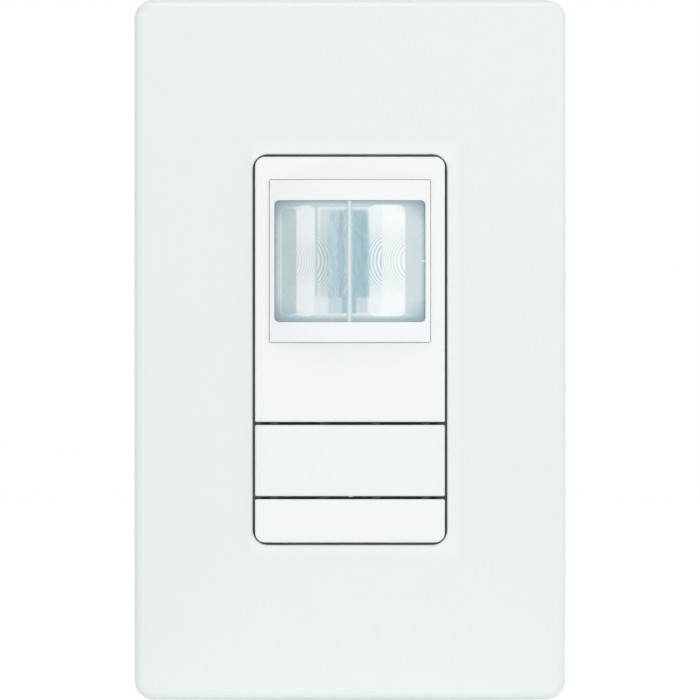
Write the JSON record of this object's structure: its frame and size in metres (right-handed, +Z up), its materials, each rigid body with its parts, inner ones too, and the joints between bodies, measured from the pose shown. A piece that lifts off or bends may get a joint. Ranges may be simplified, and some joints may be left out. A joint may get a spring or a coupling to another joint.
{
  "type": "motion sensor light switch",
  "caption": "Wall switch with a motion sensor: a grooved lens in a bowed frame above a tall and a short push button, in a screwless plate.",
  "frame": {"origin": "middle of the two box-screw holes, in the plane of the wall", "axes": "+X to the viewer's right, +Y into the wall, +Z up along the row of screws"},
  "size_m": [0.074, 0.0421, 0.12],
  "materials": {
    "plate_white": "satin moulded plastic",
    "adapter_white": "satin moulded plastic",
    "face_white": "fine satin plastic",
    "button_white": "fine satin plastic",
    "housing_white": "moulded plastic",
    "tray_white": "reflective white plastic",
    "lens_milk": "milky polyethylene with fine grooves",
    "rear_grey": "moulded thermoset",
    "strap_steel": "zinc plated",
    "plated_steel": "zinc plated",
    "can_steel": "nickel plated",
    "ground_green": "green dyed plating",
    "terminal_brass": "brass",
    "board_green": "solder mask",
    "chip_black": "moulded epoxy",
    "plunger_black": "moulded plastic",
    "relay_black": "moulded case",
    "sleeve_black": "shrink sleeve",
    "film_yellow": "potted case",
    "coil_copper": "enamelled wire",
    "varistor_blue": "epoxy dipped",
    "fuse_ceramic": "ceramic body",
    "filter_dark": "coated silicon",
    "led_clear": "clear epoxy",
    "sheet_grey": "vulcanised fibre"
  },
  "bodies": {
    "device": {"plate_adapter": "adapter_white", "adapter_screws": "plated_steel", "mounting_strap": "strap_steel", "ground_screw": "ground_green", "front_cover": "face_white", "window_frame": "face_white", "fresnel_lens": "lens_milk", "sensor_baffle": "tray_white", "front_housing": "housing_white", "control_board": "board_green", "control_chip": "chip_black", "pyro_can": "can_steel", "pyro_filter": "filter_dark", "pyro_pins": "plated_steel", "status_led": "led_clear", "photocell": "led_clear", "upper_switch_base": "chip_black", "upper_switch_shell": "can_steel", "lower_switch_base": "chip_black", "lower_switch_shell": "can_steel", "insulator_sheet": "sheet_grey", "board_header": "chip_black", "power_board": "board_green", "relay": "relay_black", "bulk_capacitor": "sleeve_black", "film_capacitor": "film_yellow", "choke_coil": "coil_copper", "varistor": "varistor_blue", "fuse_resistor": "fuse_ceramic", "rear_housing": "rear_grey", "housing_screws": "plated_steel", "terminal_plates": "terminal_brass", "terminal_screws": "terminal_brass"},
    "wall_plate": {"wall_plate_cover": "plate_white"},
    "upper_button": {"upper_button": "button_white"},
    "lower_button": {"lower_button": "button_white"},
    "upper_plunger": {"upper_switch_plunger": "plunger_black"},
    "lower_plunger": {"lower_switch_plunger": "plunger_black"}
  },
  "joints": [
    {"name": "plate_pull", "type": "slide", "parent": "device", "child": "wall_plate", "axis": [0, -1, 0], "range_m": [0, 0.03]},
    {"name": "upper_press", "type": "hinge", "parent": "device", "child": "upper_button", "pos_m": [0, -0.003, -0.01478], "axis": [1, 0, 0], "range_deg": [0, 2.08], "stiffness_Nm_per_rad": 0.3, "springref_deg": -0.57},
    {"name": "lower_press", "type": "hinge", "parent": "device", "child": "lower_button", "pos_m": [0, -0.003, -0.03108], "axis": [-1, 0, 0], "range_deg": [0, 3.58], "stiffness_Nm_per_rad": 0.1, "springref_deg": -1.15},
    {"name": "upper_plunge", "type": "slide", "parent": "device", "child": "upper_plunger", "axis": [0, 1, 0], "range_m": [0, 0.00025]},
    {"name": "lower_plunge", "type": "slide", "parent": "device", "child": "lower_plunger", "axis": [0, 1, 0], "range_m": [0, 0.00025]}
  ],
  "couplings": [
    {"joint": "upper_plunge", "follows": "upper_press", "m_per_rad": 0.00688},
    {"joint": "lower_plunge", "follows": "lower_press", "m_per_rad": 0.004}
  ]
}
